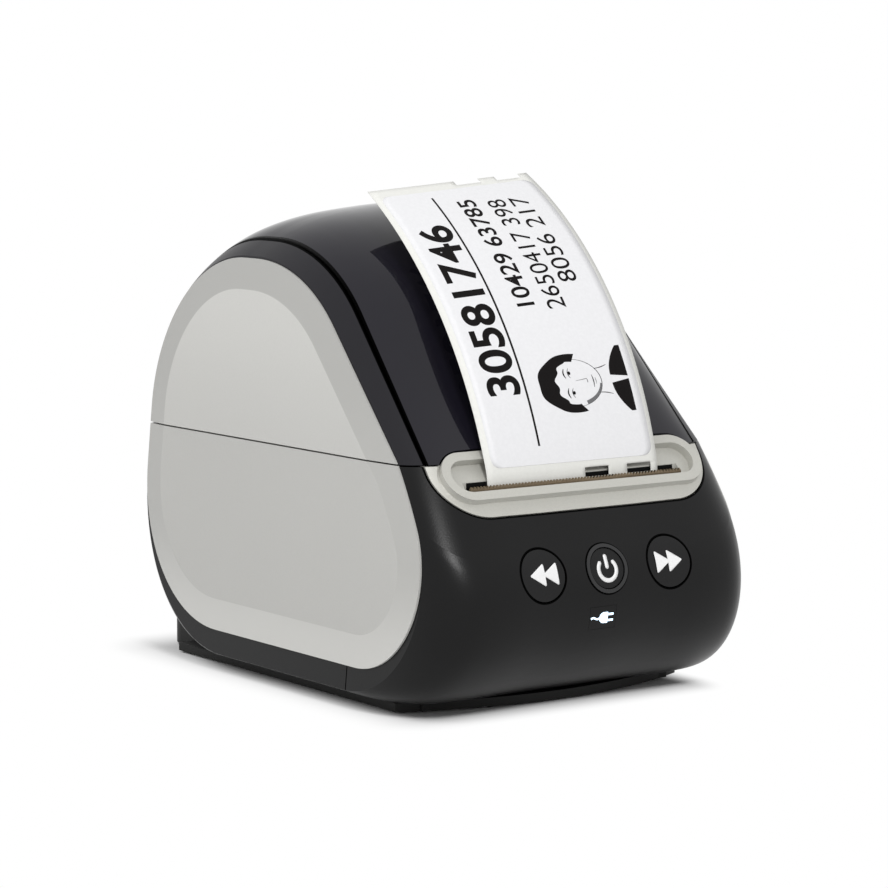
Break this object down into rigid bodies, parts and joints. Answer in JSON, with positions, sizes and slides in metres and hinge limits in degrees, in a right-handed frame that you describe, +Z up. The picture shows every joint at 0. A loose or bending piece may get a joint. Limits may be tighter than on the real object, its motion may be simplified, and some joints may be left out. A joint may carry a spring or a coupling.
{
  "type": "thermal label printer",
  "caption": "Desktop thermal label printer with a domed glossy lid over a label roll, grey side panels, silver exit slot with tear bar, round feed buttons and a label curling out.",
  "frame": {"origin": "on the table, under the middle of the printer's bounding box", "axes": "+Z up, the front with the buttons and label slot faces -Y, +X to the right seen from the front"},
  "size_m": [0.1284, 0.1829, 0.1611],
  "materials": {
    "black_shell": "satin, fine texture",
    "window_gloss": "high gloss",
    "panel_grey": "satin warm grey",
    "bezel_silver": "satin silver grey",
    "button_black": "satin",
    "ring_black": "semi-gloss",
    "light_lens": "smoked lens with a bluish-white light",
    "bar_steel": "brushed, warm tint",
    "label_paper": "smooth thermal paper",
    "core_card": "plain",
    "inner_black": "moulded",
    "frame_steel": "zinc plated",
    "shaft_steel": "ground",
    "platen_rubber": "matt",
    "gear_white": "natural acetal",
    "bush_brown": "oiled",
    "motor_can": "plated can",
    "head_metal": "bead blasted",
    "head_ceramic": "glazed strip",
    "lever_green": "moulded blue",
    "board_green": "solder mask",
    "socket_black": "moulded",
    "socket_steel": "plated shell",
    "switch_body": "moulded",
    "foot_rubber": "matt",
    "screw_steel": "zinc plated"
  },
  "bodies": {
    "base": {"front_cover": "black_shell", "base_housing": "black_shell", "base_plate": "inner_black", "exit_bezel": "bezel_silver", "tear_bar": "bar_steel", "side_panel_left": "panel_grey", "side_panel_right": "panel_grey", "power_ring": "ring_black", "status_lens": "light_lens", "label_strip": "label_paper", "rubber_feet": "foot_rubber", "roll_cradle": "inner_black", "mech_frame": "frame_steel", "label_chute": "inner_black", "label_sensor": "switch_body", "platen_bushes": "bush_brown", "idler_pin": "shaft_steel", "drive_motor": "motor_can", "head_pivot_pin": "shaft_steel", "lever_pin": "shaft_steel", "main_board": "board_green", "board_screws": "screw_steel", "power_socket": "socket_black", "data_socket": "socket_steel", "button_board": "board_green", "tact_switches": "switch_body", "hinge_pins": "shaft_steel", "bottom_screws": "screw_steel"},
    "lid": {"lid_frame": "black_shell", "lid_window": "window_gloss", "lid_panel_left": "panel_grey", "lid_panel_right": "panel_grey"},
    "feed_back": {"feed_back_button": "button_black"},
    "power": {"power_button": "button_black"},
    "feed_forward": {"feed_forward_button": "button_black"},
    "platen": {"platen_shaft": "shaft_steel", "platen_roller": "platen_rubber", "platen_gear": "gear_white"},
    "idler": {"idler_gear": "gear_white"},
    "rotor": {"motor_shaft": "shaft_steel", "motor_pinion": "gear_white"},
    "spool": {"spool_spindle": "inner_black", "label_core": "core_card", "label_roll": "label_paper"},
    "guide": {"spool_guide": "inner_black"},
    "head": {"print_head": "head_metal", "head_strip": "head_ceramic"},
    "lever": {"release_lever": "lever_green"}
  },
  "joints": [
    {"name": "lid_hinge", "type": "hinge", "parent": "base", "child": "lid", "pos_m": [0, 0.0886, 0.077], "axis": [-1, 0, 0], "range_deg": [0, 95], "deforming": ["label_strip"]},
    {"name": "feed_back_press", "type": "slide", "parent": "base", "child": "feed_back", "axis": [0, 0.9476, -0.3194], "range_m": [0, 0.0008], "stiffness_N_per_m": 500, "springref_m": -0.001},
    {"name": "power_press", "type": "slide", "parent": "base", "child": "power", "axis": [0, 0.9476, -0.3194], "range_m": [0, 0.0008], "stiffness_N_per_m": 500, "springref_m": -0.001},
    {"name": "feed_forward_press", "type": "slide", "parent": "base", "child": "feed_forward", "axis": [0, 0.9476, -0.3194], "range_m": [0, 0.0008], "stiffness_N_per_m": 500, "springref_m": -0.001},
    {"name": "platen_spin", "type": "hinge", "parent": "base", "child": "platen", "pos_m": [0, -0.0674, 0.0575], "axis": [1, 0, 0], "continuous": true},
    {"name": "idler_spin", "type": "hinge", "parent": "base", "child": "idler", "pos_m": [0, -0.04881, 0.04264], "axis": [1, 0, 0], "continuous": true},
    {"name": "motor_spin", "type": "hinge", "parent": "base", "child": "rotor", "pos_m": [0, -0.0566, 0.0239], "axis": [1, 0, 0], "continuous": true},
    {"name": "spool_spin", "type": "hinge", "parent": "base", "child": "spool", "pos_m": [0, 0.0159, 0.07], "axis": [1, 0, 0], "continuous": true},
    {"name": "guide_slide", "type": "slide", "parent": "spool", "child": "guide", "axis": [1, 0, 0], "range_m": [0, 0.0036]},
    {"name": "lever_swing", "type": "hinge", "parent": "base", "child": "lever", "pos_m": [-0.0477, -0.0526, 0.06], "axis": [-1, 0, 0], "range_deg": [0, 20]},
    {"name": "head_swing", "type": "hinge", "parent": "base", "child": "head", "pos_m": [0, -0.07605, 0.04], "axis": [1, 0, 0], "range_deg": [0, 5]}
  ],
  "couplings": [
    {"joint": "platen_spin", "follows": "spool_spin", "ratio": 8},
    {"joint": "idler_spin", "follows": "spool_spin", "ratio": -4.3636},
    {"joint": "motor_spin", "follows": "spool_spin", "ratio": 13.714},
    {"joint": "head_swing", "follows": "lever_swing", "ratio": 0.25}
  ]
}
